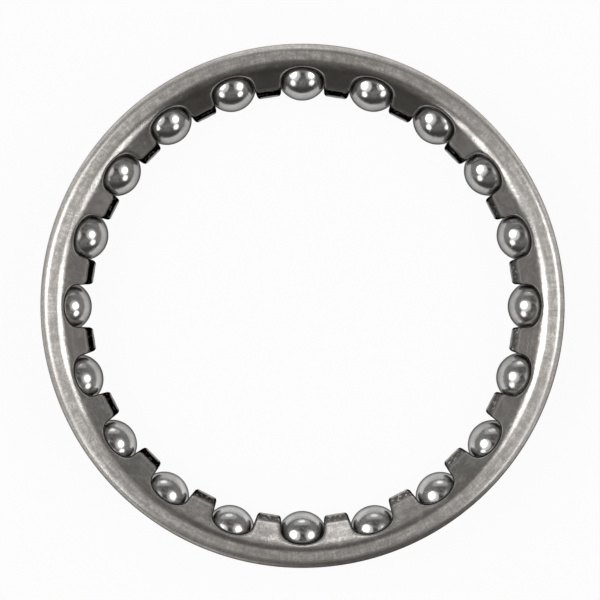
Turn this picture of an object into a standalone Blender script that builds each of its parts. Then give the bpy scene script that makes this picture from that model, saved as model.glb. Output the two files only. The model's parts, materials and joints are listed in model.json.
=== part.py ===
"""Caged ball ring of a thrust ball bearing: loose steel balls in one pressed steel cage.

The ring lies flat with its axis on Z, its balls resting on z = 0 and its rolled rim facing +Z.
+Y is twelve o'clock. The cage is one sheet: a short skirt outside, a flat land on the rim's crest, a
shoulder that flares into fingers, which slope in between the balls and end in steep tips. All lengths are
in metres.
"""

import math

import bmesh
import bpy

MM = 0.001

# Balls, in stock inch size (5/32 in), and how loosely they sit
BALL_COUNT = 20
BALL_DIAMETER = 3.96875 * MM
PITCH_DIAMETER = 36.92 * MM
RADIAL_PLAY = 0.22 * MM
SIDE_PLAY = 0.06 * MM
RUNNING_GAP = 0.06 * MM

# Where the balls have come to rest: rolled out to the rim in the lower pockets, and in against the
# finger tips in the others. Pockets are counted clockwise from twelve o'clock, which is 0.
DROP_ANGLE = math.radians(245)
ROLLED_OUT = range(7, 16)
PUSHED_IN = 10

# Sheet of the cage, from the skirt outside to the finger tips inside
SHEET = 0.38 * MM
RIM_OVERHANG = 2.19 * MM
RIM_INSIDE_RADIUS = 0.4 * MM
SKIRT_SPARE = 0.3 * MM
LAND_WIDTH = 0.37 * MM
SHOULDER_INSIDE_RADIUS = 0.37 * MM
SHOULDER_SLOPE = math.radians(24)
FLARE_INSIDE_RADIUS = 2.22 * MM
FINGER_SLOPE = math.radians(40)
BEND_INSIDE_RADIUS = 0.2 * MM
TIP_SLOPE = math.radians(62)
TIP_REACH = 0.5 * MM

# Pockets punched through the sheet, narrower than a ball so that none can pass through
POCKET_PINCH = 0.71 * MM
POCKET_REACH = 0.25 * MM
POCKET_ROUND = 0.93 * MM
POCKET_FLARE = 0.05 * MM
TIP_CORNER = 0.35 * MM
PUNCH_OVERRUN = 1.0 * MM

# Finishes
SHEET_COLOUR = (0.46, 0.44, 0.42)
SHEET_ROUGHNESS = 0.38
BALL_COLOUR = (0.74, 0.74, 0.75)
BALL_ROUGHNESS = 0.08

# Facets
STEPS_PER_POCKET = 5
ARC_STEPS = 3
ROUND_STEPS = 4
BALL_SUBDIVISIONS = 3
SEAM_MERGE = 0.000001

# Sizes that follow from the ones above
HALF_PITCH = math.pi / BALL_COUNT
BALL_RADIUS = BALL_DIAMETER / 2
BALL_REACH = BALL_RADIUS + RUNNING_GAP
PITCH_RADIUS = PITCH_DIAMETER / 2
RIM_RADIUS = PITCH_RADIUS + RIM_OVERHANG
POCKET_END_RADIUS = PITCH_RADIUS + POCKET_REACH
POCKET_HALF = (BALL_DIAMETER - POCKET_PINCH) / 2
MOUTH_HALF = POCKET_HALF + POCKET_FLARE

# The tips stop the balls from rolling inwards, so they stand just clear of a ball at its inner limit
TIP_STOP = math.sqrt(BALL_REACH**2 - (MOUTH_HALF - SIDE_PLAY) ** 2)
TIP_RADIUS = PITCH_RADIUS - RADIAL_PLAY - TIP_STOP - SHEET * math.sin(TIP_SLOPE)
BEND_RADIUS = TIP_RADIUS + TIP_REACH


def pocket_angle(index):
    """Direction of a pocket from the axis, clockwise from twelve o'clock."""
    return math.pi / 2 - index * 2 * HALF_PITCH


def finger_height(radius):
    """Height of the fingers' front face at a radius, set so that every ball keeps its running gap.

    The back face stays clear of the ball where the pocket's sides pass it and where the pocket ends,
    with the ball at the limit of its play.
    """
    past_sides = math.sqrt(BALL_REACH**2 - (POCKET_HALF - SIDE_PLAY) ** 2)
    over_end = math.sqrt(BALL_REACH**2 - (POCKET_REACH - RADIAL_PLAY) ** 2)
    past_end = over_end * math.cos(FINGER_SLOPE) - POCKET_REACH * math.sin(FINGER_SLOPE)
    stand_off = max(past_sides + RADIAL_PLAY * math.sin(FINGER_SLOPE), past_end)
    over_pitch = (stand_off + SHEET) / math.cos(FINGER_SLOPE)
    return BALL_RADIUS + over_pitch + (radius - PITCH_RADIUS) * math.tan(FINGER_SLOPE)


def skirt_height():
    """Height of the skirt's cut edge, a little above where it would meet a ball at its outer limit."""
    room = RIM_OVERHANG - SHEET - RADIAL_PLAY
    past_skirt = math.sqrt(max(0, BALL_REACH**2 - room**2))
    return BALL_RADIUS + past_skirt + SKIRT_SPARE


def arc(centre, radius, start, end):
    """Points on an arc of the section. Angles lean from straight up towards the axis."""
    points = []
    for step in range(ARC_STEPS + 1):
        lean = start + (end - start) * step / ARC_STEPS
        points.append((centre[0] - radius * math.sin(lean), centre[1] + radius * math.cos(lean)))
    return points


def cage_section():
    """Front face of the sheet as (radius, height), from the finger tip out and down to the skirt's edge."""
    bend = BEND_INSIDE_RADIUS + SHEET
    flare = FLARE_INSIDE_RADIUS + SHEET
    shoulder = SHOULDER_INSIDE_RADIUS + SHEET
    rim = RIM_INSIDE_RADIUS + SHEET

    land_inner = RIM_RADIUS - rim - LAND_WIDTH
    flare_centre = land_inner + (flare - shoulder) * math.sin(SHOULDER_SLOPE)
    flare_foot = flare_centre - flare * math.sin(FINGER_SLOPE)
    flare_centre_height = finger_height(flare_foot) - flare * math.cos(FINGER_SLOPE)
    shoulder_centre_height = flare_centre_height + (flare - shoulder) * math.cos(SHOULDER_SLOPE)
    crest = shoulder_centre_height + shoulder

    bend_height = finger_height(BEND_RADIUS)
    bend_run = bend * math.tan((TIP_SLOPE - FINGER_SLOPE) / 2)
    bend_centre = (
        BEND_RADIUS + bend_run * math.cos(FINGER_SLOPE) + bend * math.sin(FINGER_SLOPE),
        bend_height + bend_run * math.sin(FINGER_SLOPE) - bend * math.cos(FINGER_SLOPE),
    )

    section = [(TIP_RADIUS, bend_height - TIP_REACH * math.tan(TIP_SLOPE))]
    section += arc(bend_centre, bend, TIP_SLOPE, FINGER_SLOPE)
    section += arc((flare_centre, flare_centre_height), flare, FINGER_SLOPE, SHOULDER_SLOPE)
    section += arc((land_inner, shoulder_centre_height), shoulder, SHOULDER_SLOPE, 0)[1:]
    section += arc((RIM_RADIUS - rim, crest - rim), rim, 0, -math.pi / 2)
    section.append((RIM_RADIUS, skirt_height()))
    return section


def pocket_outline():
    """Outline of one pocket, open towards the axis and round at its outer end.

    Points run along the pocket and across it. The sides draw together slightly from the mouth, and the
    tips of the fingers on either side have round corners, which run out square to the fingers.
    """
    tip_across = MOUTH_HALF + TIP_CORNER
    tip_along = (TIP_RADIUS + TIP_CORNER - tip_across * math.sin(HALF_PITCH)) / math.cos(HALF_PITCH)
    round_along = POCKET_END_RADIUS - POCKET_ROUND

    corner = []
    for step in range(ROUND_STEPS + 1):
        turn = (math.pi / 2 + HALF_PITCH) * step / ROUND_STEPS - HALF_PITCH
        along = tip_along - TIP_CORNER * math.cos(turn)
        corner.append((along, tip_across - TIP_CORNER * math.sin(turn)))

    half = [(corner[0][0] - PUNCH_OVERRUN, corner[0][1])] + corner
    for step in range(ROUND_STEPS):
        turn = math.pi / 2 * step / ROUND_STEPS
        half.append((round_along + POCKET_ROUND * math.sin(turn), POCKET_HALF * math.cos(turn)))
    end = (POCKET_END_RADIUS, 0)
    return half + [end] + [(along, -across) for along, across in reversed(half)]


def new_collection(name):
    collection = bpy.data.collections.new(name)
    bpy.context.scene.collection.children.link(collection)
    return collection


def steel(name, colour, roughness):
    material = bpy.data.materials.new(name)
    material.use_nodes = True
    shader = material.node_tree.nodes["Principled BSDF"]
    shader.inputs["Base Color"].default_value = (*colour, 1)
    shader.inputs["Metallic"].default_value = 1
    shader.inputs["Roughness"].default_value = roughness
    return material


def make_punch(collection, section):
    """One cutter with a straight punch for every pocket, taller than the sheet is deep."""
    heights = [height for _, height in section]
    low = min(heights) - SHEET - PUNCH_OVERRUN
    high = max(heights) + PUNCH_OVERRUN

    curve = bpy.data.curves.new("pocket_punch_outline", "CURVE")
    curve.dimensions = "2D"
    curve.fill_mode = "BOTH"
    curve.extrude = (high - low) / 2
    outline = pocket_outline()
    for index in range(BALL_COUNT):
        angle = pocket_angle(index)
        spline = curve.splines.new("POLY")
        spline.points.add(len(outline) - 1)
        spline.use_cyclic_u = True
        for point, (along, across) in zip(spline.points, outline):
            x = along * math.cos(angle) - across * math.sin(angle)
            y = along * math.sin(angle) + across * math.cos(angle)
            point.co = (x, y, 0, 1)

    guide = bpy.data.objects.new("pocket_punch_guide", curve)
    collection.objects.link(guide)
    guide.location.z = (high + low) / 2
    bpy.context.view_layer.update()
    evaluated = guide.evaluated_get(bpy.context.evaluated_depsgraph_get())
    mesh = bpy.data.meshes.new_from_object(evaluated)

    shape = bmesh.new()
    shape.from_mesh(mesh)
    bmesh.ops.remove_doubles(shape, verts=shape.verts, dist=SEAM_MERGE)
    bmesh.ops.recalc_face_normals(shape, faces=shape.faces)
    shape.to_mesh(mesh)
    shape.free()

    punch = bpy.data.objects.new("pocket_punch", mesh)
    punch.matrix_world = guide.matrix_world.copy()
    punch.hide_render = True
    punch.display_type = "WIRE"
    collection.objects.link(punch)
    bpy.data.objects.remove(guide)
    return punch


def make_cage(collection, parent, punch, section):
    """The sheet, turned from its section, given its thickness and then punched."""
    mesh = bpy.data.meshes.new("cage")
    points = [(radius, 0, height) for radius, height in section]
    edges = [(index, index + 1) for index in range(len(points) - 1)]
    mesh.from_pydata(points, edges, [])

    cage = bpy.data.objects.new("cage", mesh)
    collection.objects.link(cage)
    cage.parent = parent
    mesh.materials.append(steel("pressed_steel", SHEET_COLOUR, SHEET_ROUGHNESS))

    turn = cage.modifiers.new("turn", "SCREW")
    turn.axis = "Z"
    turn.angle = 2 * math.pi
    turn.steps = STEPS_PER_POCKET * BALL_COUNT
    turn.render_steps = turn.steps
    turn.use_merge_vertices = True
    turn.merge_threshold = SEAM_MERGE
    turn.use_smooth_shade = True

    wall = cage.modifiers.new("wall", "SOLIDIFY")
    wall.thickness = SHEET
    wall.offset = -1
    wall.use_even_offset = True

    pockets = cage.modifiers.new("pockets", "BOOLEAN")
    pockets.operation = "DIFFERENCE"
    pockets.solver = "EXACT"
    pockets.object = punch

    shading = cage.modifiers.new("shading", "WEIGHTED_NORMAL")
    shading.keep_sharp = False
    return cage


def ball_centre(index):
    """A ball in its pocket, at one end of its play along the pocket and dropped a little across it."""
    angle = pocket_angle(index)
    rolled_out = index in ROLLED_OUT and index != PUSHED_IN
    radius = PITCH_RADIUS + (RADIAL_PLAY if rolled_out else -RADIAL_PLAY)
    aside = SIDE_PLAY * math.sin(DROP_ANGLE - angle)
    x = radius * math.cos(angle) - aside * math.sin(angle)
    y = radius * math.sin(angle) + aside * math.cos(angle)
    return (x, y, BALL_RADIUS)


def make_balls(collection, parent):
    """The balls share one mesh. Each object's origin is its ball's centre, on its rolling axis."""
    mesh = bpy.data.meshes.new("ball")
    shape = bmesh.new()
    bmesh.ops.create_icosphere(shape, subdivisions=BALL_SUBDIVISIONS, radius=BALL_RADIUS)
    shape.to_mesh(mesh)
    shape.free()
    mesh.shade_smooth()
    mesh.materials.append(steel("polished_steel", BALL_COLOUR, BALL_ROUGHNESS))

    for index in range(BALL_COUNT):
        ball = bpy.data.objects.new(f"ball_{index + 1:02d}", mesh)
        ball.location = ball_centre(index)
        ball.rotation_euler.z = pocket_angle(index)
        ball.parent = parent
        collection.objects.link(ball)


def main():
    for old in list(bpy.data.objects):
        bpy.data.objects.remove(old)

    parts = new_collection("caged_ball_ring")
    cutters = new_collection("cutters")
    axis = bpy.data.objects.new("ring_axis", None)
    parts.objects.link(axis)

    section = cage_section()
    punch = make_punch(cutters, section)
    make_cage(parts, axis, punch, section)
    make_balls(parts, axis)


main()
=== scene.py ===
# %% [markdown]
# # Dressing a caged ball ring
#
# The object is the rolling set of a thrust ball bearing: twenty polished steel balls in one pressed steel
# cage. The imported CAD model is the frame. It gives every size and every place, and it stays as it is.
# This lesson models the cage again as a finer sheet with rounded edges, makes the balls again as smooth
# spheres, and gives both their steel. All lengths are in metres.

# %% Load the frame
import json
import math

import bpy
import numpy as np
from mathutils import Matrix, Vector


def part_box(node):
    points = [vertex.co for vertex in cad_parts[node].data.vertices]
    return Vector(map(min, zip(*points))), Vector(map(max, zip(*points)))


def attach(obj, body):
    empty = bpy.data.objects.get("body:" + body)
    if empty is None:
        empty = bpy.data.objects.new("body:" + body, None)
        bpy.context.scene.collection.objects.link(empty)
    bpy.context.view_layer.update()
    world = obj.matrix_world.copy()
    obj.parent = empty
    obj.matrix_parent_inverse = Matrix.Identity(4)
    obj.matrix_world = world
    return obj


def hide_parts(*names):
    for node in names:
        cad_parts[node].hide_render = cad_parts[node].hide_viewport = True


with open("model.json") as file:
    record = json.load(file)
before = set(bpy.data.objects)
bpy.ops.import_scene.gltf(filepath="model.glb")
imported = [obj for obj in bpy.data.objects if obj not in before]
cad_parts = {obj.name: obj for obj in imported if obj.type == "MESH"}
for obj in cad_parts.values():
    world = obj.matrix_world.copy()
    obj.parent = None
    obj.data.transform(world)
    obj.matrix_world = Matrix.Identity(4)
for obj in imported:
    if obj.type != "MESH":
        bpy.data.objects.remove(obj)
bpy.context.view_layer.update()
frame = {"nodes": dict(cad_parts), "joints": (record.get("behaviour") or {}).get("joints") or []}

MM = 0.001

# %% [markdown]
# ## What the frame says
#
# The places of the balls are the places of their joints, and a ball's size is the height of its solid.
# The cage's own solid tells where its sheet ends: at the rim outside, at the finger tips inside, on the
# crest of the rim and at the foot of the skirt. Reading these, instead of typing them, keeps the looks on
# the solids.

# %% Measure the solids
SKIRT_NEARNESS = 0.01 * MM

ball_centres = {joint["child"]: Vector(joint["pos_m"]) for joint in frame["joints"]}
ball_low, ball_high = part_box("ball_01")
BALL_RADIUS = (ball_high.z - ball_low.z) / 2

cage_points = [vertex.co for vertex in frame["nodes"]["cage"].data.vertices]
RIM_RADIUS = max(point.xy.length for point in cage_points)
TIP_RADIUS = min(point.xy.length for point in cage_points)
CREST = max(point.z for point in cage_points)
SKIRT_FOOT = min(point.z for point in cage_points if point.xy.length > RIM_RADIUS - SKIRT_NEARNESS)
POCKETS = len(ball_centres)
print(f"{POCKETS} balls of {2 * BALL_RADIUS / MM:.3f} mm, rim {RIM_RADIUS / MM:.3f} mm,")
print(f"tips {TIP_RADIUS / MM:.3f} mm, crest {CREST / MM:.3f} mm, skirt foot {SKIRT_FOOT / MM:.3f} mm")

# %% [markdown]
# ## Camera
#
# The photograph looks straight down the ring's axis, so the camera does too, with twelve o'clock up. A
# long lens from a third of a metre keeps the far rim and the near balls at nearly one scale. The ring
# stands a little low in the frame: the camera moves aside by that much, which needs no lens shift.

# %% Set up the camera
FRAME_WIDTH = 47.16 * MM
CAMERA_DISTANCE = 350 * MM
CAMERA_ASIDE = (-0.2 * MM, 0.458 * MM)
NEAREST_SEEN = 10 * MM
SENSOR = 36

camera_data = bpy.data.cameras.new("camera")
camera_data.sensor_width = SENSOR
camera_data.lens = SENSOR * CAMERA_DISTANCE / FRAME_WIDTH
camera_data.clip_start = NEAREST_SEEN
camera = bpy.data.objects.new("camera", camera_data)
camera.location = (*CAMERA_ASIDE, CREST + CAMERA_DISTANCE)
bpy.context.scene.collection.objects.link(camera)
bpy.context.scene.camera = camera
bpy.context.scene.view_settings.view_transform = "Standard"
print(f"lens {camera_data.lens:.0f} mm")

# %% [markdown]
# ## Building with nodes
#
# Every finish here is a tree of shader nodes. Adding a node, setting its values and linking its sockets
# takes the same few lines each time, so small helpers do that: one adds any node, and the others add the
# three kinds that are used most. A value that is a socket is linked, and any other value is typed into
# the input.

# %% Node helpers
MIX_FACTOR, MIX_A, MIX_B, MIX_RESULT = 0, 6, 7, 2


def add_node(tree, kind, values=None, **settings):
    """A new node with its settings and its input values or links."""
    new = tree.nodes.new("ShaderNode" + kind)
    for name, value in settings.items():
        setattr(new, name, value)
    for key, value in (values or {}).items():
        socket = new.inputs[key]
        if isinstance(value, bpy.types.NodeSocket):
            tree.links.new(value, socket)
        else:
            socket.default_value = value
    return new


def calculate(tree, operation, *values):
    """The result of a Math node."""
    return add_node(tree, "Math", dict(enumerate(values)), operation=operation).outputs[0]


def ramp(tree, value, low, high, start=0.0, end=1.0):
    """A smooth step of a value, from start below low to end above high."""
    numbers = {"Value": value, "From Min": low, "From Max": high, "To Min": start, "To Max": end}
    return add_node(tree, "MapRange", numbers, interpolation_type="SMOOTHSTEP").outputs["Result"]


def mix_colour(tree, factor, first, second, blend="MIX"):
    """A Mix node for colours, given as sockets or as red, green and blue."""
    given = (first, second)
    colours = [value if isinstance(value, bpy.types.NodeSocket) else (*value, 1) for value in given]
    values = {MIX_FACTOR: factor, MIX_A: colours[0], MIX_B: colours[1]}
    return add_node(tree, "Mix", values, data_type="RGBA", blend_type=blend).outputs[MIX_RESULT]


print("node helpers ready")

# %% [markdown]
# ## Lamps
#
# Polished balls are mirrors, so each lamp shows in them as a small bright spot, and the spots tell where
# the lamps stood: one pair high on the left and right, a second pair lower and nearer, and a wide soft
# light low behind the ring. Round each spot is a weaker glow, as of a cloth or wall that the lamp shines
# on, so each lamp has a wider and dimmer halo. One large soft light would be simpler, but it would leave
# no spots. All the lamps stand far off, so every ball shows them in the same place.

# %% Hang the lamps
LAMP_DISTANCE = 0.6
HIGH_BRIGHTNESS = 3.0
LOW_BRIGHTNESS = 2.1
BACK_BRIGHTNESS = 1.0
LEFT_HALO_BRIGHTNESS = 0.722
RIGHT_HALO_BRIGHTNESS = 0.456
LOW_HALO_BRIGHTNESS = 0.228
BACK_HALO_BRIGHTNESS = 0.24


def add_lamp(name, off_axis, heading, width, height, brightness):
    """A soft oval lamp aimed at the ring. Angles are in degrees, brightness is what a mirror shows of it."""
    lamp = bpy.data.lights.new(name, "AREA")
    lamp.shape = "ELLIPSE"
    lamp.size = 2 * LAMP_DISTANCE * math.tan(math.radians(width) / 2)
    lamp.size_y = 2 * LAMP_DISTANCE * math.tan(math.radians(height) / 2)
    area = math.pi / 4 * lamp.size * lamp.size_y
    lamp.energy = brightness * math.pi * area
    lamp_object = bpy.data.objects.new(name, lamp)
    tilt, turn = math.radians(off_axis), math.radians(heading)
    direction = Vector((math.sin(tilt) * math.cos(turn), math.sin(tilt) * math.sin(turn), math.cos(tilt)))
    lamp_object.location = direction * LAMP_DISTANCE
    lamp_object.rotation_euler = direction.to_track_quat("Z", "Y").to_euler()
    bpy.context.scene.collection.objects.link(lamp_object)
    print(f"{name}: {off_axis} degrees off the axis, {lamp.energy:.2f} W")


add_lamp("lamp_left_high", 43.5, 171, 33, 33, HIGH_BRIGHTNESS)
add_lamp("lamp_right_high", 42.5, 4, 28, 28, HIGH_BRIGHTNESS)
add_lamp("lamp_left_low", 57.5, 219, 23, 23, LOW_BRIGHTNESS)
add_lamp("lamp_right_low", 57, -36, 23, 23, LOW_BRIGHTNESS)
add_lamp("lamp_back", 73.5, 92, 26, 14, BACK_BRIGHTNESS)
add_lamp("halo_left_high", 34, 178, 50, 50, LEFT_HALO_BRIGHTNESS)
add_lamp("halo_right_high", 38, 6, 47, 47, RIGHT_HALO_BRIGHTNESS)
add_lamp("halo_left_low", 57.5, 219, 28, 28, LOW_HALO_BRIGHTNESS)
add_lamp("halo_right_low", 57, -36, 28, 28, LOW_HALO_BRIGHTNESS)
add_lamp("halo_back", 70, 92, 64, 34, BACK_HALO_BRIGHTNESS)

# %% [markdown]
# ## The room
#
# What is not a lamp still shows in the steel. The room is a soft gradient: grey behind the ring and at
# both sides, dark on the near side, dimmer high up and dark again round the camera, where the
# photographer leans in. A picture of a real room could stand in for it, but a gradient is plain and needs
# no file. High up it is broken by noise, so that the balls mirror something uneven there, as they do in
# the photograph. Each pair of numbers says where, along a direction of length one, a part of the room
# begins and where it is complete.

# %% Light the room
ROOM_FRONT = (0.06, 0.0575, 0.055)
ROOM_BACK = (0.26, 0.26, 0.26)
ROOM_SIDES = (0.25, 0.245, 0.24)
ROOM_HIGH = (0.17, 0.163, 0.156)
ROOM_OVERHEAD = (0.085, 0.082, 0.079)
FRONT_TO_BACK = (-0.9, 0.9)
TO_SIDES = (0.75, 0.98)
TO_HIGH = (0.3, 0.75)
TO_OVERHEAD = (0.93, 0.995)
TO_CLUTTER = (0.5, 0.8)
CLUTTER_SCALE = 5.0
CLUTTER_LEVELS = (0.38, 0.62)
CLUTTER_STRENGTH = (0.35, 1.65)

world = bpy.data.worlds.new("studio")
world.use_nodes = True
bpy.context.scene.world = world
tree = world.node_tree
place = add_node(tree, "TexCoord").outputs["Generated"]
towards = add_node(tree, "SeparateXYZ", {0: place}).outputs
sideways = calculate(tree, "ABSOLUTE", towards["X"])
room = mix_colour(tree, ramp(tree, towards["Y"], *FRONT_TO_BACK), ROOM_FRONT, ROOM_BACK)
room = mix_colour(tree, ramp(tree, sideways, *TO_SIDES), room, ROOM_SIDES)
room = mix_colour(tree, ramp(tree, towards["Z"], *TO_HIGH), room, ROOM_HIGH)
room = mix_colour(tree, ramp(tree, towards["Z"], *TO_OVERHEAD), room, ROOM_OVERHEAD)
clutter = add_node(tree, "TexNoise", {"Vector": place, "Scale": CLUTTER_SCALE, "Detail": 3.0}).outputs["Fac"]
clutter = ramp(tree, clutter, *CLUTTER_LEVELS, *CLUTTER_STRENGTH)
cluttered = mix_colour(tree, 1.0, room, clutter, "MULTIPLY")
room = mix_colour(tree, ramp(tree, towards["Z"], *TO_CLUTTER), room, cluttered)
tree.links.new(room, tree.nodes["Background"].inputs["Color"])
print("room lit")

# %% [markdown]
# ## The floor
#
# The ring lies on plain white paper. The paper is a diffuse white that keeps the ring's shadow, mixed
# with a glowing white that is seen by the camera and by mirrors. The camera sees nearly all glow, which
# makes the background white without any more light on the ring. Steel sees the glow behind the ring and
# on the near side of the bore, and elsewhere mostly the diffuse paper, so that it also shows how dark it
# is under the cage. A paper that glows all over would be simpler, but the undersides of the balls would
# lose their shade.

# %% Lay the floor
FLOOR_SIZE = 3
FLOOR_WHITE = (0.85, 0.85, 0.85, 1)
SEEN_WHITE = 0.94
MIRRORED_WHITE = (0.12, 1.0)
TO_OUTSIDE = (17 * MM, 19 * MM)
TO_BEHIND = (0, 25 * MM)
NEAR_SIDE = (-12 * MM, -4 * MM)
NEAR_SHARE = 0.65

bpy.ops.object.select_all(action="DESELECT")
bpy.ops.mesh.primitive_plane_add(size=FLOOR_SIZE, location=(0, 0, 0))
floor = bpy.context.object
floor.name = "floor"
paper = bpy.data.materials.new("floor_paper")
paper.use_nodes = True
tree = paper.node_tree
tree.nodes.clear()
place = add_node(tree, "TexCoord").outputs["Object"]
along = add_node(tree, "SeparateXYZ", {0: place}).outputs["Y"]
reach = add_node(tree, "VectorMath", {0: place}, operation="LENGTH").outputs["Value"]
outside = ramp(tree, reach, *TO_OUTSIDE)
inside = calculate(tree, "SUBTRACT", 1.0, outside)
behind = calculate(tree, "MULTIPLY", outside, ramp(tree, along, *TO_BEHIND))
near = calculate(tree, "MULTIPLY", inside, ramp(tree, along, *NEAR_SIDE, NEAR_SHARE, 0.0))
whitest = calculate(tree, "MAXIMUM", behind, near)

path = add_node(tree, "LightPath").outputs
seen = calculate(tree, "MULTIPLY", path["Is Camera Ray"], SEEN_WHITE)
mirrored = calculate(tree, "MAXIMUM", path["Is Glossy Ray"], path["Is Transmission Ray"])
mirrored = calculate(tree, "MULTIPLY", mirrored, ramp(tree, whitest, 0.0, 1.0, *MIRRORED_WHITE))
share = calculate(tree, "MAXIMUM", seen, mirrored)
diffuse = add_node(tree, "BsdfDiffuse", {"Color": FLOOR_WHITE})
white = add_node(tree, "Emission")
blend = add_node(tree, "MixShader", {0: share, 1: diffuse.outputs[0], 2: white.outputs[0]})
add_node(tree, "OutputMaterial", {"Surface": blend.outputs[0]})
floor.data.materials.append(paper)
print("floor laid")

# %% [markdown]
# ## The section of the sheet
#
# The cage is one sheet of even thickness, so its front face tells all. Seen in a cut through the axis,
# that face starts at a steep finger tip, bends into the sloping finger, flares and rounds over a shoulder
# onto the flat land, and rolls over the rim into the short skirt. It could be traced point by point, but
# each stretch is an arc or a straight line, so it is worked out from a few sizes and from what the frame
# says.

# %% Draw the section
SHEET = 0.38 * MM
RIM_ROUND = 0.78 * MM
LAND_WIDTH = 0.37 * MM
SHOULDER_ROUND = 0.75 * MM
SHOULDER_SLOPE = math.radians(24)
FLARE_ROUND = 2.6 * MM
FINGER_SLOPE = math.radians(40)
BEND_ROUND = 0.58 * MM
TIP_SLOPE = math.radians(62)
TIP_REACH = 0.5 * MM

LAND_OUTER = RIM_RADIUS - RIM_ROUND
LAND_INNER = LAND_OUTER - LAND_WIDTH
SHOULDER_FOOT = LAND_INNER - SHOULDER_ROUND * math.sin(SHOULDER_SLOPE)
FLARE_CENTRE = LAND_INNER + (FLARE_ROUND - SHOULDER_ROUND) * math.sin(SHOULDER_SLOPE)
FLARE_FOOT = FLARE_CENTRE - FLARE_ROUND * math.sin(FINGER_SLOPE)
FLARE_TOP = CREST + (FLARE_ROUND - SHOULDER_ROUND) * (1 - math.cos(SHOULDER_SLOPE))
BEND_RADIUS = TIP_RADIUS + TIP_REACH
BEND_RUN = BEND_ROUND * math.tan((TIP_SLOPE - FINGER_SLOPE) / 2)
BEND_OUTER = BEND_RADIUS + BEND_RUN * math.cos(FINGER_SLOPE)
BEND_INNER = BEND_RADIUS - BEND_RUN * math.cos(TIP_SLOPE)


def round_height(radius, centre, top, roundness):
    """Height of an arc whose middle is at a radius and whose highest point would be at top."""
    return top - roundness + math.sqrt(roundness**2 - (centre - radius) ** 2)


def finger_height(radius):
    """Height of the straight finger's front face."""
    foot_height = round_height(FLARE_FOOT, FLARE_CENTRE, FLARE_TOP, FLARE_ROUND)
    return foot_height + (radius - FLARE_FOOT) * math.tan(FINGER_SLOPE)


BEND_CENTRE = BEND_OUTER + BEND_ROUND * math.sin(FINGER_SLOPE)
BEND_TOP = finger_height(BEND_OUTER) + BEND_ROUND * (1 - math.cos(FINGER_SLOPE))


def front_height(radius):
    """Height of the sheet's front face at a radius, from the tips out to the rim's crest."""
    if radius >= LAND_INNER:
        return CREST
    if radius >= SHOULDER_FOOT:
        return round_height(radius, LAND_INNER, CREST, SHOULDER_ROUND)
    if radius >= FLARE_FOOT:
        return round_height(radius, FLARE_CENTRE, FLARE_TOP, FLARE_ROUND)
    if radius >= BEND_OUTER:
        return finger_height(radius)
    if radius >= BEND_INNER:
        return round_height(radius, BEND_CENTRE, BEND_TOP, BEND_ROUND)
    return finger_height(BEND_RADIUS) - (BEND_RADIUS - radius) * math.tan(TIP_SLOPE)


for name, radius in (("tip", TIP_RADIUS), ("bend", BEND_RADIUS), ("shoulder", SHOULDER_FOOT)):
    print(f"{name}: radius {radius / MM:.2f} mm, height {front_height(radius) / MM:.2f} mm")

# %% [markdown]
# ## The outline of a pocket
#
# Each pocket is punched out of the sheet: straight sides that draw together a little, a round outer end,
# and an open mouth between two finger tips with round corners. A drawn curve could give this outline too,
# but arcs and lines by formula meet exactly. Half an outline is enough, because the other half mirrors
# it. Points are given along the pocket, from the axis outwards, and across it.

# %% Draw half a pocket
POCKET_HALF = 1.63 * MM
MOUTH_HALF = 1.68 * MM
POCKET_END = 18.71 * MM
POCKET_ROUND = 0.93 * MM
TIP_CORNER = 0.35 * MM
HALF_PITCH = math.pi / POCKETS
CORNER_ACROSS = MOUTH_HALF + TIP_CORNER
CORNER_REACH = TIP_RADIUS + TIP_CORNER - CORNER_ACROSS * math.sin(HALF_PITCH)
CORNER_ALONG = CORNER_REACH / math.cos(HALF_PITCH)


def corner_point(turn):
    """On the round corner of a finger tip: minus half a pitch at its end, a right angle at its side."""
    return CORNER_ALONG - TIP_CORNER * math.cos(turn), CORNER_ACROSS - TIP_CORNER * math.sin(turn)


def side_point(share):
    """On the straight side, from the tip's corner to where the pocket starts to close."""
    along = CORNER_ALONG + share * (POCKET_END - POCKET_ROUND - CORNER_ALONG)
    return along, MOUTH_HALF + share * (POCKET_HALF - MOUTH_HALF)


def end_point(turn):
    """On the pocket's round outer end: 0 at the side, a right angle on the pocket's middle line."""
    along = POCKET_END - POCKET_ROUND + POCKET_ROUND * math.sin(turn)
    return along, POCKET_HALF * math.cos(turn)


def polar(point):
    """Radius from the ring's axis and angle from the pocket's middle line."""
    along, across = point
    return np.array((math.hypot(along, across), math.atan2(across, along)))


print(f"finger width at the tip {2 * (HALF_PITCH - polar(side_point(0))[1]) * TIP_RADIUS / MM:.2f} mm")

# %% [markdown]
# ## Borders of half a finger
#
# A punched sheet could be cut with a Boolean, but that leaves slivers along the cut, and a rounded edge
# needs clean rows of faces beside it. So half a pitch of the cage is one grid, laid so that its rows
# follow the outline: one border runs round the pocket, the opposite border runs up the finger's middle
# line and then along a circle outside the pocket, and the two short borders are the tip's end and the
# pocket's middle line.

# %% Set the borders
CORNER_ROWS = 5
SIDE_ROWS = 9
END_ROWS = 22
END_ROWS_UP = 8
ROWS = CORNER_ROWS + SIDE_ROWS + END_ROWS
CORNER_MIDDLE = math.pi / 4
JOIN_RADIUS = LAND_INNER - 0.2 * MM


def pocket_border(row):
    """Round the pocket, from the middle of the tip's corner to the pocket's middle line."""
    if row < CORNER_ROWS:
        return polar(corner_point(CORNER_MIDDLE * (1 + row / CORNER_ROWS)))
    if row < CORNER_ROWS + SIDE_ROWS:
        return polar(side_point((row - CORNER_ROWS) / SIDE_ROWS))
    return polar(end_point(math.pi / 2 * (row - CORNER_ROWS - SIDE_ROWS) / END_ROWS))


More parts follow.
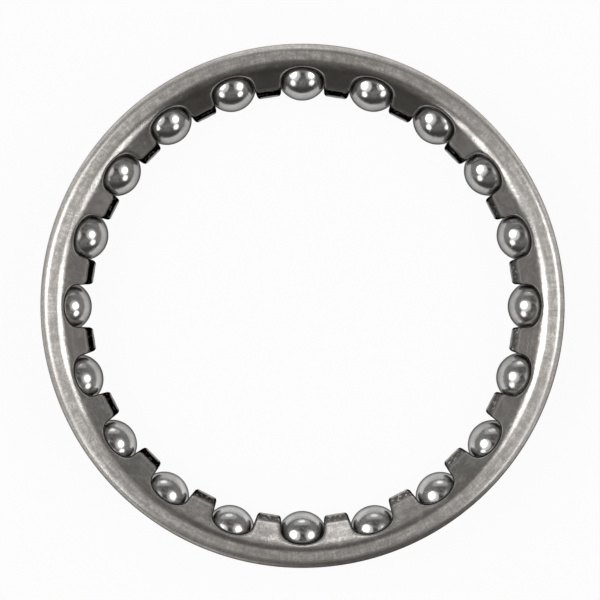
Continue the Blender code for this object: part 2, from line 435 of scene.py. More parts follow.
def middle_border(row):
    """Up the finger's middle line to the join with the rim, then along the join."""
    up_rows = CORNER_ROWS + SIDE_ROWS
    side_end = polar(end_point(0))[0]
    if row <= up_rows:
        return np.array((TIP_RADIUS + (side_end - TIP_RADIUS) * row / up_rows, HALF_PITCH))
    if row <= up_rows + END_ROWS_UP:
        share = (row - up_rows) / END_ROWS_UP
        return np.array((side_end + (JOIN_RADIUS - side_end) * share, HALF_PITCH))
    share = (row - up_rows - END_ROWS_UP) / (END_ROWS - END_ROWS_UP)
    return np.array((JOIN_RADIUS, HALF_PITCH * (1 - share)))


def tip_border(share):
    """Along the tip's end, from the middle of its round corner to the finger's middle line."""
    end_radius, end_angle = polar(corner_point(-HALF_PITCH))
    corner_run = TIP_CORNER * (CORNER_MIDDLE + HALF_PITCH)
    straight_run = (HALF_PITCH - end_angle) * TIP_RADIUS
    run = share * (corner_run + straight_run)
    if run < corner_run:
        return polar(corner_point(CORNER_MIDDLE - run / TIP_CORNER))
    share = (run - corner_run) / straight_run
    radius = TIP_RADIUS + (end_radius - TIP_RADIUS) * (1 - share) ** 2
    return np.array((radius, end_angle + (HALF_PITCH - end_angle) * share))


def end_border(share):
    """Along the pocket's middle line, from the pocket's end to the join."""
    return np.array((POCKET_END + (JOIN_RADIUS - POCKET_END) * share, 0))


def plan(point):
    """Sideways and along the pocket's middle line, from a radius and an angle."""
    return point[0] * np.array((math.sin(point[1]), math.cos(point[1])))


print(f"{ROWS} rows round the pocket, join at {JOIN_RADIUS / MM:.2f} mm")

# %% [markdown]
# ## The turned-down edge
#
# The punch drags the edge of the sheet along with it, so round each pocket the last quarter of a
# millimetre is turned down and drawn thin. In the photograph this is the black line that hugs each ball.
# A bevel would only cut the corner off, so here the sheet itself bends: a point near the outline is
# lowered along an arc, and how near it is stays with it, for the thickness and for the painted shade.

# %% Turn the edge down
EDGE_TURN = math.radians(68)
EDGE_RADIUS = 0.3 * MM
EDGE_WIDTH = EDGE_RADIUS * math.sin(EDGE_TURN)
EDGE_THICKNESS = 0.5
OUTLINE_POINTS = 8 * ROWS

outline = np.array([plan(pocket_border(row)) for row in np.linspace(0, ROWS, OUTLINE_POINTS)])


def edge_depth(point):
    """How far inside the turned-down edge a point lies, from 0 on the flat to EDGE_WIDTH on the outline."""
    return max(0, EDGE_WIDTH - np.linalg.norm(outline - plan(point), axis=1).min())


def edge_drop(depth):
    """How far the turned-down edge lies below the sheet's front face."""
    return EDGE_RADIUS - math.sqrt(EDGE_RADIUS**2 - depth**2)


print(f"edge {EDGE_WIDTH / MM:.2f} mm wide, turned down by {edge_drop(EDGE_WIDTH) / MM:.2f} mm")

# %% [markdown]
# ## Half a finger
#
# Inside the grid, each point is blended from its four borders, which spreads the rows evenly where a
# plain stretch would crowd them. The first few columns keep to the turned-down edge. Heights come from
# the section, as in the press.

# %% Lay the grid
COLUMNS = 9
EDGE_COLUMNS = 4


def column_share(row, column):
    """How far over from the pocket to the middle a column lies. The first few keep to the edge."""
    edge = EDGE_WIDTH / np.linalg.norm(plan(middle_border(row)) - plan(pocket_border(row)))
    if column <= EDGE_COLUMNS:
        return edge * column / EDGE_COLUMNS
    return edge + (1 - edge) * (column - EDGE_COLUMNS) / (COLUMNS - EDGE_COLUMNS)


def laid_point(row, column):
    """A grid point blended from the four borders, as radius and angle."""
    u, v = row / ROWS, column_share(row, column)
    sides = (1 - v) * pocket_border(row) + v * middle_border(row)
    ends = (1 - u) * tip_border(v) + u * end_border(v)
    near = (1 - v) * pocket_border(0) + v * middle_border(0)
    far = (1 - v) * pocket_border(ROWS) + v * middle_border(ROWS)
    return sides + ends - (1 - u) * near - u * far


bpy.ops.object.select_all(action="DESELECT")
bpy.ops.mesh.primitive_grid_add(x_subdivisions=ROWS, y_subdivisions=COLUMNS, size=1, location=(0, 0, 0))
cage = bpy.context.object
cage.name = "cage_sheet"
depths = []
for vertex in cage.data.vertices:
    row = round((vertex.co.x + 0.5) * ROWS)
    column = round((vertex.co.y + 0.5) * COLUMNS)
    point = laid_point(row, column)
    radius, angle = point
    depth = edge_depth(point)
    depths.append(depth)
    vertex.co = (radius * math.sin(angle), radius * math.cos(angle), front_height(radius) - edge_drop(depth))
thickness = cage.vertex_groups.new(name="thickness")
for index, depth in enumerate(depths):
    thickness.add([index], 1 - (1 - EDGE_THICKNESS) * depth / EDGE_WIDTH, "REPLACE")
turned_edge = cage.data.attributes.new("turned_edge", "FLOAT", "POINT")
turned_edge.data.foreach_set("value", [depth / EDGE_WIDTH for depth in depths])
print(f"half a finger: {len(cage.data.polygons)} faces")

# %% [markdown]
# ## From half a finger to the ring
#
# The half is mirrored at the pocket's middle line and spun round the axis, once for every pocket. An
# Array modifier with a turned empty would do the same, but Spin needs no extra object. Where two copies
# meet, their points are merged.

# %% Mirror and spin
SEAM_MERGE = 0.001 * MM

mirror = cage.modifiers.new("mirror", "MIRROR")
mirror.merge_threshold = SEAM_MERGE
bpy.ops.object.modifier_apply(modifier="mirror")

bpy.ops.object.mode_set(mode="EDIT")
bpy.ops.mesh.select_all(action="SELECT")
spin_angle = 2 * math.pi * (POCKETS - 1) / POCKETS
bpy.ops.mesh.spin(steps=POCKETS - 1, dupli=True, angle=spin_angle, center=(0, 0, 0), axis=(0, 0, 1))
bpy.ops.mesh.select_all(action="SELECT")
bpy.ops.mesh.remove_doubles(threshold=SEAM_MERGE)
bpy.ops.object.mode_set(mode="OBJECT")
print(f"ring of fingers: {len(cage.data.polygons)} faces")

# %% [markdown]
# ## The rim
#
# Outside the pockets the cage is a plain turned shape: the rest of the shoulder, the land, the rolled rim
# and the skirt. It could be a second piece made with Screw, but the real cage is one sheet, so the open
# circle of the fingers is pulled out ring by ring. Each ring is extruded, widened to its radius and set
# to its height.

# %% Pull out the rim
SHOULDER_STEPS = 3
LAND_STEPS = 4
RIM_STEPS = 12
SKIRT_STEPS = 3


def rim_section():
    """Front face from the join outwards, as radius and height."""
    points = []
    for step in range(1, SHOULDER_STEPS + 1):
        radius = JOIN_RADIUS + (LAND_INNER - JOIN_RADIUS) * step / SHOULDER_STEPS
        points.append((radius, front_height(radius)))
    for step in range(1, LAND_STEPS + 1):
        points.append((LAND_INNER + LAND_WIDTH * step / LAND_STEPS, CREST))
    for step in range(1, RIM_STEPS + 1):
        turn = math.pi / 2 * step / RIM_STEPS
        drop = RIM_ROUND * (1 - math.cos(turn))
        points.append((LAND_OUTER + RIM_ROUND * math.sin(turn), CREST - drop))
    rim_foot = CREST - RIM_ROUND
    for step in range(1, SKIRT_STEPS + 1):
        points.append((RIM_RADIUS, rim_foot + (SKIRT_FOOT - rim_foot) * step / SKIRT_STEPS))
    return points


bpy.ops.object.mode_set(mode="EDIT")
bpy.ops.mesh.select_mode(type="EDGE")
bpy.ops.mesh.select_all(action="DESELECT")
bpy.ops.object.mode_set(mode="OBJECT")
for edge in cage.data.edges:
    ends = [cage.data.vertices[index].co.xy.length for index in edge.vertices]
    edge.select = min(ends) > JOIN_RADIUS - SEAM_MERGE
bpy.ops.object.mode_set(mode="EDIT")
last_radius, last_height = JOIN_RADIUS, front_height(JOIN_RADIUS)
for radius, height in rim_section():
    bpy.ops.mesh.extrude_region_move()
    grow = radius / last_radius
    bpy.ops.transform.resize(value=(grow, grow, 1), center_override=(0, 0, 0))
    bpy.ops.transform.translate(value=(0, 0, height - last_height))
    last_radius, last_height = radius, height
bpy.ops.mesh.select_all(action="SELECT")
bpy.ops.mesh.normals_make_consistent(inside=False)
bpy.ops.object.mode_set(mode="OBJECT")
upward = sum(face.normal.z * face.area for face in cage.data.polygons)
if upward < 0:
    cage.data.flip_normals()
print(f"front face: {len(cage.data.polygons)} faces, facing {'up' if upward > 0 else 'down, turned over'}")

# %% [markdown]
# ## Marks on steel
#
# Three effects are shared by the finishes, so each is a node group that puts out a mask. Scuffs are short
# straight scratches from parts tumbling against each other: noise stretched in one direction, cut at a
# high level and broken into patches. Draw lines run round the ring, where the sheet slid over the die:
# noise that changes quickly with the radius and slowly along the circle. Grain is the fine pitted skin of
# the rolled sheet. Painted textures would show every scratch where it is, but noise holds up at any
# distance.

# %% Mark groups
FLAT = (1.0, 1.0, 0.0)
SCUFF_STRETCH = (1.0, 0.05, 0.3)
SCUFF_SOFTNESS = 0.1
SCUFF_PATCH_SCALE = 0.11
SCUFF_PATCH_LEVELS = (0.42, 0.62)


def mark_group(name, inputs):
    """An empty node group with a vector input, the named number inputs and one mask as its output."""
    tree = bpy.data.node_groups.new(name, "ShaderNodeTree")
    tree.interface.new_socket("Vector", in_out="INPUT", socket_type="NodeSocketVector")
    for number in inputs:
        tree.interface.new_socket(number, in_out="INPUT", socket_type="NodeSocketFloat")
    tree.interface.new_socket("Mask", in_out="OUTPUT", socket_type="NodeSocketFloat")
    sockets = tree.nodes.new("NodeGroupInput").outputs
    return tree, sockets, tree.nodes.new("NodeGroupOutput").inputs["Mask"]


def vector_math(tree, operation, values):
    """A Vector Math node."""
    return add_node(tree, "VectorMath", values, operation=operation).outputs


def noise(tree, vector, scale, detail=2.0, roughness=0.5):
    """The level of a Noise texture, from 0 to 1."""
    values = {"Vector": vector, "Scale": scale, "Detail": detail, "Roughness": roughness}
    return add_node(tree, "TexNoise", values).outputs["Fac"]


scuffs, given, mask = mark_group("scuffs", ["Heading", "Scale", "Level"])
heading = {"Vector": given["Vector"], "Angle": given["Heading"]}
turned = add_node(scuffs, "VectorRotate", heading, rotation_type="Z_AXIS").outputs[0]
stretched = vector_math(scuffs, "MULTIPLY", {0: turned, 1: SCUFF_STRETCH})[0]
level_end = calculate(scuffs, "ADD", given["Level"], SCUFF_SOFTNESS)
streaks = ramp(scuffs, noise(scuffs, stretched, given["Scale"], 1.0), given["Level"], level_end)
patch_scale = calculate(scuffs, "MULTIPLY", given["Scale"], SCUFF_PATCH_SCALE)
patches = ramp(scuffs, noise(scuffs, turned, patch_scale), *SCUFF_PATCH_LEVELS)
scuffs.links.new(calculate(scuffs, "MULTIPLY", streaks, patches), mask)

draw_lines, given, mask = mark_group("draw_lines", ["Scale", "Turns"])
flat = vector_math(draw_lines, "MULTIPLY", {0: given["Vector"], 1: FLAT})[0]
radius = vector_math(draw_lines, "LENGTH", {0: flat})["Value"]
facing = vector_math(draw_lines, "NORMALIZE", {0: flat})[0]
facing = vector_math(draw_lines, "SCALE", {0: facing, "Scale": given["Turns"]})[0]
around = add_node(draw_lines, "SeparateXYZ", {0: facing}).outputs
fine_radius = calculate(draw_lines, "MULTIPLY", radius, given["Scale"])
laid = add_node(draw_lines, "CombineXYZ", {0: around["X"], 1: around["Y"], 2: fine_radius}).outputs[0]
draw_lines.links.new(noise(draw_lines, laid, 1.0, 3.0, 0.6), mask)

grain, given, mask = mark_group("grain", ["Scale"])
grain.links.new(noise(grain, given["Vector"], given["Scale"], 4.0, 0.7), mask)
print("mark groups:", [group.name for group in (scuffs, draw_lines, grain)])

# %% [markdown]
# ## Helpers for the steels
#
# A finish is built in layers: a metal, a mark that is placed on the piece's own coordinates, and a colour
# that is laid where the mark is. Object coordinates are used throughout, so the marks stay on the piece
# when it moves.

# %% Steel helpers
def metal(name):
    """A metal material, its node tree and the inputs of its shader."""
    material = bpy.data.materials.new(name)
    material.use_nodes = True
    shader = material.node_tree.nodes["Principled BSDF"]
    shader.inputs["Metallic"].default_value = 1
    return material, material.node_tree, shader.inputs


def own_place(tree):
    """The piece's own coordinates."""
    return add_node(tree, "TexCoord").outputs["Object"]


def marks(tree, group, **values):
    """The mask of a mark group placed in a material, on the piece's own coordinates."""
    placed = add_node(tree, "Group")
    placed.node_tree = group
    tree.links.new(own_place(tree), placed.inputs["Vector"])
    for name, value in values.items():
        placed.inputs[name].default_value = value
    return placed.outputs["Mask"]


def layer(tree, under, mask, colour, strength=1.0):
    """A colour laid over another where a mask is, as far as its strength."""
    return mix_colour(tree, calculate(tree, "MULTIPLY", mask, strength), under, colour)


def roughen(tree, shader, height, strength, distance):
    """A bump of the surface by a height."""
    bump = add_node(tree, "Bump", {"Height": height, "Strength": strength, "Distance": distance})
    tree.links.new(bump.outputs[0], shader["Normal"])


print("steel helpers ready")

# %% [markdown]
# ## The colour of the sheet's face
#
# The face of the sheet is satin steel with a warm tone: blotches where oil has dried, stains and pulled
# streaks that follow the draw, fine draw lines, pits, and light scuffs in three directions. The land is
# paler. One flat grey would have the right mean, but the
# photograph shows all of these, and they tell how the piece was made. Stains and streaks grow from the
# flare to the land and fade on the rolled rim.

# %% Colour the face
CLEAN_STEEL = (0.7, 0.672, 0.638)
OILED_STEEL = (0.43, 0.409, 0.387)
LAND_STEEL = (0.88, 0.845, 0.805)
LAND_PALENESS = 0.95
STAIN = (0.4, 0.38, 0.36)
STAIN_STRENGTH = (0.25, 0.65)
PIT = (0.34, 0.323, 0.306)
PIT_STRENGTH = 0.55
STREAK_STRENGTH = (0.07, 0.35)
DRAW_LINE = (0.4, 0.381, 0.362)
DRAW_LINE_STRENGTH = 0.45
SCRATCH = (0.8, 0.78, 0.76)
SCRATCH_STRENGTH = 0.45
ROLLED_STRENGTH = 0.4
TO_ROLLED = (LAND_OUTER + 0.05 * MM, LAND_OUTER + 0.3 * MM)


def radius_of(tree):
    """Distance from the ring's axis."""
    flat = vector_math(tree, "MULTIPLY", {0: own_place(tree), 1: FLAT})[0]
    return vector_math(tree, "LENGTH", {0: flat})["Value"]


def scratches(tree):
    """Scuffs in three directions."""
    scratched = 0.0
    for turn in (0.2, 1.3, 2.5):
        scratch = marks(tree, scuffs, Heading=turn, Scale=11000 + 1500 * turn, Level=0.6)
        scratched = calculate(tree, "MAXIMUM", scratched, scratch)
    return scratched


def drawn_strength(tree, radius, strengths):
    """A strength that grows from the flare to the land and fades on the rolled rim."""
    growing = ramp(tree, radius, FLARE_FOOT, LAND_INNER, *strengths)
    return calculate(tree, "MULTIPLY", growing, ramp(tree, radius, *TO_ROLLED, 1.0, ROLLED_STRENGTH))


def face_colour(tree, radius, pits, blotches, lines, scratched):
    """The colour of the sheet's face, without its tips and edges."""
    colour = mix_colour(tree, ramp(tree, blotches, 0.38, 0.62), CLEAN_STEEL, OILED_STEEL)
    outside = ramp(tree, radius, SHOULDER_FOOT, LAND_INNER)
    colour = layer(tree, colour, outside, LAND_STEEL, LAND_PALENESS)
    stains = ramp(tree, marks(tree, draw_lines, Scale=2200, Turns=22), 0.4, 0.62)
    colour = layer(tree, colour, stains, STAIN, drawn_strength(tree, radius, STAIN_STRENGTH))
    streaks = ramp(tree, marks(tree, draw_lines, Scale=250, Turns=70), 0.42, 0.62)
    colour = layer(tree, colour, streaks, PIT, drawn_strength(tree, radius, STREAK_STRENGTH))
    colour = layer(tree, colour, ramp(tree, lines, 0.35, 0.65), DRAW_LINE, DRAW_LINE_STRENGTH)
    colour = layer(tree, colour, ramp(tree, pits, 0.42, 0.66), PIT, PIT_STRENGTH)
    return layer(tree, colour, scratched, SCRATCH, SCRATCH_STRENGTH)


print(f"rolled rim from {TO_ROLLED[0] / MM:.2f} mm out")

# %% [markdown]
# ## Painted shade on the rim and the tips, painted highlight on the bend
#
# The outer edge of the rolled rim is darkened as painted shade, most of all on the near side. The steep
# tips are painted near black as painted shade, with bright specks as painted glints and a painted
# highlight at their end, and towards the near right that painted shade is lighter. The bend above each tip
# has a painted highlight. Separate materials could do
# this, but their borders would be hard. Masks by radius and by place blend softly, and along the
# turned-down edge the border of a tip curves up, as it does in the photograph.

# %% Shade the rim and the tips
RIM_PAINTED_SHADE = (0.03, 0.029, 0.028)
TIP_PAINTED_SHADE = (0.008, 0.008, 0.008)
TIP_LIGHTER_SHADE = (0.15, 0.144, 0.138)
TIP_PAINTED_GLINT = (0.7, 0.68, 0.66)
TIP_END_HIGHLIGHT = (0.6, 0.58, 0.56)
BEND_PAINTED_HIGHLIGHT = (0.78, 0.76, 0.73)
BEND_HIGHLIGHT_STRENGTH = 0.5
EDGE_PAINTED_SHADE = (0.02, 0.019, 0.018)
EDGE_SHADE_LEVELS = (0.35, 0.8)
BEND_CURVE = 0.22 * MM
TIP_LIGHTER_SIDE = (0, 20 * MM)
GLINTS_WHERE_DARK = 0.15
NEAR_TURN = 0.35
RIM_EDGE_SHADE = 0.6
RIM_EDGE_SHADE_SIDE = (-8 * MM, 20 * MM)
RIM_FOOT_SHADE = 0.75
RIM_FOOT_SHADE_SIDE = (16 * MM, 22 * MM)
TO_RIM_EDGE = (RIM_RADIUS - 0.16 * MM, RIM_RADIUS - 0.05 * MM)
TO_RIM_FOOT = (RIM_RADIUS - 0.45 * MM, RIM_RADIUS - 0.2 * MM)
ABOVE_SKIRT = (CREST - 1.0 * MM, CREST - 0.7 * MM)
PAST_TIP_END = (TIP_RADIUS + 0.07 * MM, TIP_RADIUS + 0.18 * MM)
TIP_END_HIGHLIGHT_STRENGTH = 0.8
PAST_TIP = (BEND_RADIUS - 0.03 * MM, BEND_RADIUS + 0.12 * MM)
TO_BEND_HIGHLIGHT = (BEND_RADIUS + 0.08 * MM, BEND_RADIUS + 0.16 * MM)
PAST_BEND_HIGHLIGHT = (BEND_RADIUS + 0.18 * MM, BEND_RADIUS + 0.3 * MM)


# Painted shade: the rolled rim's outer edge is darkened, more on the near side.
def rim_painted_shade(tree, radius, place):
    """Where painted shade darkens the rim: along its edge, and on the near side further up."""
    nearer = calculate(tree, "SUBTRACT", calculate(tree, "MULTIPLY", place["X"], NEAR_TURN), place["Y"])
    edge_side = ramp(tree, nearer, *RIM_EDGE_SHADE_SIDE, 0.0, RIM_EDGE_SHADE)
    edge = calculate(tree, "MULTIPLY", ramp(tree, radius, *TO_RIM_EDGE), edge_side)
    foot_side = ramp(tree, nearer, *RIM_FOOT_SHADE_SIDE, 0.0, RIM_FOOT_SHADE)
    foot = calculate(tree, "MULTIPLY", ramp(tree, radius, *TO_RIM_FOOT), foot_side)
    shade_mask = calculate(tree, "MAXIMUM", edge, foot)
    return calculate(tree, "MULTIPLY", shade_mask, ramp(tree, place["Z"], *ABOVE_SKIRT))


def tip_painted_light(tree, radius, place):
    """Painted shade, near black and lighter towards the near right, with painted glints and a painted
    highlight at the end.
    """
    lighter_side = ramp(tree, calculate(tree, "SUBTRACT", place["X"], place["Y"]), *TIP_LIGHTER_SIDE)
    colour = mix_colour(tree, lighter_side, TIP_PAINTED_SHADE, TIP_LIGHTER_SHADE)
    glints = ramp(tree, marks(tree, grain, Scale=3600), 0.57, 0.62)
    colour = layer(tree, colour, glints, TIP_PAINTED_GLINT, ramp(tree, lighter_side, 0.0, 1.0, GLINTS_WHERE_DARK))
    tip_end_highlight = ramp(tree, radius, *PAST_TIP_END, TIP_END_HIGHLIGHT_STRENGTH, 0.0)
    return mix_colour(tree, tip_end_highlight, colour, TIP_END_HIGHLIGHT)


def shade_face(tree, colour, radius):
    """The face's colour with painted shade on the rim, the tips and the turned-down edges, and a painted
    highlight on the bends.
    """
    place = add_node(tree, "SeparateXYZ", {0: own_place(tree)}).outputs
    # Painted shade on the rim's outer edge.
    colour = mix_colour(tree, rim_painted_shade(tree, radius, place), colour, RIM_PAINTED_SHADE)
    edge = add_node(tree, "Attribute", attribute_name="turned_edge").outputs["Fac"]
    bend = calculate(tree, "SUBTRACT", radius, calculate(tree, "MULTIPLY", edge, BEND_CURVE))
    # Painted shade on the steep tips, with their painted glints and painted end highlight.
    tip = ramp(tree, bend, *PAST_TIP, 1.0, 0.0)
    colour = mix_colour(tree, tip, colour, tip_painted_light(tree, radius, place))
    # Painted highlight: a bright band along the bend above each tip.
    below_face = ramp(tree, bend, *PAST_BEND_HIGHLIGHT, 1.0, 0.0)
    bend_highlight = calculate(tree, "MULTIPLY", ramp(tree, bend, *TO_BEND_HIGHLIGHT), below_face)
    colour = layer(tree, colour, bend_highlight, BEND_PAINTED_HIGHLIGHT, BEND_HIGHLIGHT_STRENGTH)
    # Painted shade: the turned-down edge is painted near black.
    return mix_colour(tree, ramp(tree, edge, *EDGE_SHADE_LEVELS), colour, EDGE_PAINTED_SHADE)


print(f"tips dark up to {BEND_RADIUS / MM:.2f} mm")

# %% [markdown]
# ## The sheet's steel
#
# Drawing leaves fine lines round the ring, so a lamp's reflection spreads across them: the steel is
# anisotropic, with its direction running round the axis. A bump alone could not show lines as fine as
# these. The flare is burnished by the die, and from there to the land the steel gets rougher.

# %% Make the pressed steel
GRAZING_SHADE_TINT = (0.05, 0.05, 0.05, 1)
DRAWN_SPREAD = 0.45
ACROSS_LINES = 0.25
FACE_ROUGHNESS = (0.16, 0.23)
BLOTCH_ROUGHNESS = 0.04
BURNISHED = -0.02
SHOULDER_ROUGHNESS = 0.16
LAND_ROUGHNESS = 0.2
TO_FLARE = (FLARE_FOOT - 0.2 * MM, FLARE_FOOT)
FLARE_TO_LAND = (FLARE_FOOT + 0.4 * MM, LAND_INNER)
PIT_HEIGHT, LINE_HEIGHT, SCRATCH_DEPTH = 0.5, 0.4, 0.3
FACE_BUMP = 0.2
BUMP_DISTANCE = 0.02 * MM


def face_roughness(tree, radius, pits, blotches):
    """Roughness of the sheet's face, from the fingers out to the rim."""
    outside = ramp(tree, radius, SHOULDER_FOOT, LAND_INNER)
    land = calculate(tree, "MULTIPLY", outside, ramp(tree, radius, *TO_ROLLED, 1.0, 0.0))
    rough = ramp(tree, pits, 0.35, 0.7, *FACE_ROUGHNESS)
    for more in (
        ramp(tree, blotches, 0.35, 0.65, 0.0, BLOTCH_ROUGHNESS),
        ramp(tree, radius, *TO_FLARE, 0.0, BURNISHED),
        ramp(tree, radius, *FLARE_TO_LAND, 0.0, SHOULDER_ROUGHNESS),
        calculate(tree, "MULTIPLY", land, LAND_ROUGHNESS),
    ):
        rough = calculate(tree, "ADD", rough, more)
    return rough


def face_height(tree, pits, lines, scratched):
    """Height of pits, draw lines and scratches for the bump."""
    height = calculate(tree, "MULTIPLY", pits, PIT_HEIGHT)
    height = calculate(tree, "ADD", height, calculate(tree, "MULTIPLY", lines, LINE_HEIGHT))
    return calculate(tree, "SUBTRACT", height, calculate(tree, "MULTIPLY", scratched, SCRATCH_DEPTH))


def pressed_steel():
    """The face of the sheet."""
    material, tree, shader = metal("pressed_steel")
    # Painted shade: a near-black tint darkens the steel's reflection at grazing angles.
    shader["Specular Tint"].default_value = GRAZING_SHADE_TINT
    shader["Anisotropic"].default_value = DRAWN_SPREAD
    shader["Anisotropic Rotation"].default_value = ACROSS_LINES
    round_axis = add_node(tree, "Tangent", direction_type="RADIAL", axis="Z").outputs[0]
    tree.links.new(round_axis, shader["Tangent"])
    pits = marks(tree, grain, Scale=7000)
    blotches = marks(tree, grain, Scale=900)
    lines = marks(tree, draw_lines, Scale=6000, Turns=3)
    scratched = scratches(tree)
    radius = radius_of(tree)
    colour = face_colour(tree, radius, pits, blotches, lines, scratched)
    tree.links.new(shade_face(tree, colour, radius), shader["Base Color"])
    tree.links.new(face_roughness(tree, radius, pits, blotches), shader["Roughness"])
    roughen(tree, shader, face_height(tree, pits, lines, scratched), FACE_BUMP, BUMP_DISTANCE)
    return material


cage.data.materials.append(pressed_steel())
print("face:", cage.data.materials[0].name)

# %% [markdown]
# ## Sheared steel and scaled steel, both darkened by painted shade
#
# The wall of a punched edge is sheared: rougher than the face, and darker, partly as dull sheared steel and
# partly as painted shade, paler just below the front where the punch entered. The back of the sheet still
# has the dull grey scale of the mill, darkened further as painted shade, and hardly shows. Both are plain,
# so each is a grain between two colours.

# %% Make the other two steels
SHEARED_STEEL_AND_SHADE = ((0.09, 0.086, 0.082), (0.03, 0.029, 0.028))
PUNCHED_STEEL = (0.5, 0.48, 0.46)
PUNCHED_LEVELS = (1.15, 1.75)
SCALED_STEEL_AND_SHADE = ((0.3, 0.288, 0.276), (0.16, 0.154, 0.148))
SHEARED_ROUGHNESS = (0.35, 0.5)
SHEARED_BUMP = 0.4
SCALED_ROUGHNESS = 0.5
SCALE_BUMP = 0.3
SCALE_BUMP_DISTANCE = 0.03 * MM


def sheared_steel_and_shade():
    """The wall of a punched edge: dull sheared steel, darkened further as painted shade."""
    material, tree, shader = metal("sheared_steel_and_shade")
    pits = marks(tree, grain, Scale=7000)
    # Partly the sheared steel's own dullness, partly painted shade.
    colour = mix_colour(tree, ramp(tree, pits, 0.4, 0.65), *SHEARED_STEEL_AND_SHADE)
    down = add_node(tree, "Attribute", attribute_name="turned_edge").outputs["Fac"]
    colour = mix_colour(tree, ramp(tree, down, *PUNCHED_LEVELS, 1.0, 0.0), colour, PUNCHED_STEEL)
    tree.links.new(colour, shader["Base Color"])
    tree.links.new(ramp(tree, pits, 0.35, 0.7, *SHEARED_ROUGHNESS), shader["Roughness"])
    roughen(tree, shader, pits, SHEARED_BUMP, BUMP_DISTANCE)
    return material


def scaled_steel_and_shade():
    """The back of the sheet: dull mill scale, darkened further as painted shade."""
    material, tree, shader = metal("scaled_steel_and_shade")
    shader["Roughness"].default_value = SCALED_ROUGHNESS
    pits = marks(tree, grain, Scale=2500)
    # Partly the mill scale's own dullness, partly painted shade.
    colour = mix_colour(tree, ramp(tree, pits, 0.4, 0.65), *SCALED_STEEL_AND_SHADE)
    tree.links.new(colour, shader["Base Color"])
    roughen(tree, shader, pits, SCALE_BUMP, SCALE_BUMP_DISTANCE)
    return material


cage.data.materials.append(sheared_steel_and_shade())
cage.data.materials.append(scaled_steel_and_shade())
print("cage steels:", [steel.name for steel in cage.data.materials])

# %% [markdown]
# ## Thickness
#
# The front face so far has no thickness. Extruding it down would make the steep tips thin, so Solidify
# gives the sheet its wall, square to the face and backwards from it. The vertex group thins the wall at
# the turned-down edge. The modifier gives the wall the second steel and the back the third.

# %% Give the sheet its wall
WALL_STEEL, BACK_STEEL = 1, 2

front_count = len(cage.data.vertices)
wall = cage.modifiers.new("wall", "SOLIDIFY")
wall.thickness = SHEET
wall.offset = -1
wall.use_even_offset = True
wall.vertex_group = "thickness"
wall.material_offset = BACK_STEEL
wall.material_offset_rim = WALL_STEEL
bpy.ops.object.modifier_apply(modifier="wall")
wall_faces = [face for face in cage.data.polygons if face.material_index == WALL_STEEL]
print(f"wall: {len(wall_faces)} faces of {len(cage.data.polygons)}")

# %% [markdown]
# ## The lip round a ball
#
# The edge that the punch has dragged down ends in a thin lip behind the front face, close round the ball.
# It is hardly seen, but without it light comes up past the balls, and the black line round them turns
# grey. The lip could be another ring of faces. Here the wall's back edge is only drawn down and outwards,
# as far as it keeps its gap to the ball at both ends of the ball's play.

# %% Draw the lip down
LIP_REACH = 0.14 * MM
LIP_STEEPNESS = 6.0
LIP_GAP = 0.07 * MM
LIP_TRIES = 40
LIP_MARK = 2

back_edge = {index for face in wall_faces for index in face.vertices if index >= front_count}
ball_radii = [centre.xy.length for centre in ball_centres.values()]
ball_height = ball_centres["ball_01"].z
lip_foot = min(cage.data.vertices[index].co.z for index in back_edge)


def ball_stops(point):
    """Where the ball of the pocket round a point has its centre, at both ends of its play."""
    angle = round(math.atan2(point.x, point.y) / (2 * HALF_PITCH)) * 2 * HALF_PITCH
    out = Vector((math.sin(angle), math.cos(angle), 0))
    return [out * radius + Vector((0, 0, ball_height)) for radius in (min(ball_radii), max(ball_radii))]


drawn = 0
for index in back_edge:
    point = cage.data.vertices[index].co
    if point.xy.length > JOIN_RADIUS:
        continue
    stops = ball_stops(point)
    away = (point - sum(stops, Vector()) / 2).xy.normalized().to_3d()
    away.z = -LIP_STEEPNESS
    for share in np.linspace(1, 0, LIP_TRIES):
        lowered = point + away * (LIP_REACH * share)
        lowered.z = max(lowered.z, lip_foot)
        if min((lowered - stop).length for stop in stops) > BALL_RADIUS + LIP_GAP:
            cage.data.vertices[index].co = lowered
            drawn += 1
            break

turned_edge = cage.data.attributes["turned_edge"]
for index in back_edge:
    turned_edge.data[index].value = LIP_MARK
print(f"lip: {drawn} of {len(back_edge)} points keep their gap to the balls")

# %% [markdown]
# ## Rounded edges
#
# A press leaves a small round where the punch entered, and no edge of a real sheet is quite sharp. A
# bevel by angle would also catch the bend of the turned-down edge, so weights pick the edges: those of
# the wall that run along the front or along the back. Then the cage is smooth except at its wall, and
# takes the place of its solid.

# %% Round the edges
EDGE_ROUND = 0.03 * MM
SMOOTH_ANGLE = math.radians(40)

weights = cage.data.attributes.new("bevel_weight_edge", "FLOAT", "EDGE")
wall_keys = {key for face in wall_faces for key in face.edge_keys}
for edge in cage.data.edges:
    in_front = [index < front_count for index in edge.vertices]
    weights.data[edge.index].value = float(edge.key in wall_keys and in_front[0] == in_front[1])
edges = cage.modifiers.new("edges", "BEVEL")
edges.width = EDGE_ROUND
edges.segments = 2
edges.limit_method = "WEIGHT"
edges.material = WALL_STEEL
bpy.ops.object.modifier_apply(modifier="edges")
bpy.ops.object.shade_smooth_by_angle(angle=SMOOTH_ANGLE)
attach(cage, "cage")
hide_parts("cage")
cage_corners = [vertex.co for vertex in cage.data.vertices]
print(f"cage: {len(cage.data.polygons)} faces, lowest {min(v.z for v in cage_corners) / MM:.2f} mm")

# %% [markdown]
# ## The balls' steel
#
# Ground bearing steel is a near mirror, a little dulled by a film of oil and by hair scratches that only
# show beside the lamps' spots. A perfect mirror would look like glass, so the film makes it uneven and a
# few dark specks break it.

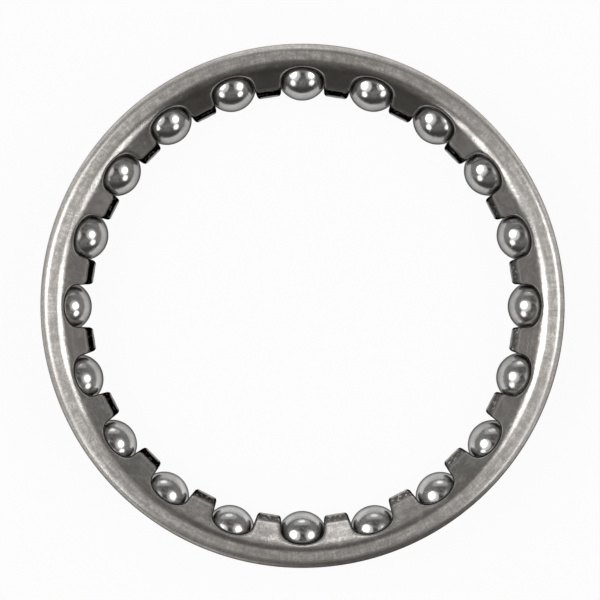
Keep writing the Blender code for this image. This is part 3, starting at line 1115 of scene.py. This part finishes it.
# %% Make the polished steel
BALL_GRAZING_SHADE_TINT = (0.1, 0.1, 0.1, 1)
BRIGHT_STEEL = (0.68, 0.68, 0.675)
FILMED_STEEL = (0.56, 0.555, 0.545)
SPECK = (0.22, 0.215, 0.21)
SPECK_STRENGTH = 0.6
FILM_LEVELS = (0.35, 0.65)
FILM_ROUGHNESS = (0.14, 0.2)
HAIR_ROUGHNESS = 0.12
HAIR_BUMP = 0.15
HAIR_BUMP_DISTANCE = 0.01 * MM


def polished_steel():
    """The skin of a ball."""
    material, tree, shader = metal("polished_steel")
    # Painted shade: a dark tint darkens the ball's reflection at grazing angles, round its outline.
    shader["Specular Tint"].default_value = BALL_GRAZING_SHADE_TINT
    film = marks(tree, grain, Scale=900)
    specks = marks(tree, grain, Scale=5200)
    hairs = [marks(tree, scuffs, Heading=turn, Scale=5200, Level=0.63) for turn in (0.6, 2.1)]
    hair = calculate(tree, "MAXIMUM", *hairs)
    colour = mix_colour(tree, ramp(tree, film, *FILM_LEVELS), BRIGHT_STEEL, FILMED_STEEL)
    colour = layer(tree, colour, ramp(tree, specks, 0.62, 0.7), SPECK, SPECK_STRENGTH)
    tree.links.new(colour, shader["Base Color"])
    rough = ramp(tree, film, *FILM_LEVELS, *FILM_ROUGHNESS)
    rough = calculate(tree, "ADD", rough, calculate(tree, "MULTIPLY", hair, HAIR_ROUGHNESS))
    tree.links.new(rough, shader["Roughness"])
    roughen(tree, shader, hair, HAIR_BUMP, HAIR_BUMP_DISTANCE)
    return material


ball_steel = polished_steel()
print("balls:", ball_steel.name)

# %% [markdown]
# ## Balls
#
# A UV sphere has poles, and a mirror finish shows a pinch there. A cube that is cut fine and blown up to
# a sphere has even faces all over and no poles. Each ball is its own mesh at its joint, and rides on its
# own body.

# %% Make the balls
BALL_CUTS = 19

for name, centre in ball_centres.items():
    bpy.ops.object.select_all(action="DESELECT")
    bpy.ops.mesh.primitive_cube_add(size=2 * BALL_RADIUS, location=(0, 0, 0))
    ball = bpy.context.object
    ball.name = name + "_polished"
    ball.data.name = ball.name
    bpy.ops.object.mode_set(mode="EDIT")
    bpy.ops.mesh.select_all(action="SELECT")
    bpy.ops.mesh.subdivide(number_cuts=BALL_CUTS)
    bpy.ops.transform.tosphere(value=1)
    bpy.ops.object.mode_set(mode="OBJECT")
    reach = max(vertex.co.length for vertex in ball.data.vertices)
    for vertex in ball.data.vertices:
        vertex.co = centre + vertex.co * (BALL_RADIUS / reach)
    bpy.ops.object.shade_smooth()
    ball.data.materials.append(ball_steel)
    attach(ball, name)
    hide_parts(name)
spread = [(vertex.co - centre).length / BALL_RADIUS for vertex in ball.data.vertices]
print(f"{POCKETS} balls of {len(ball.data.polygons)} faces, round to {max(spread) - min(spread):.5f}")
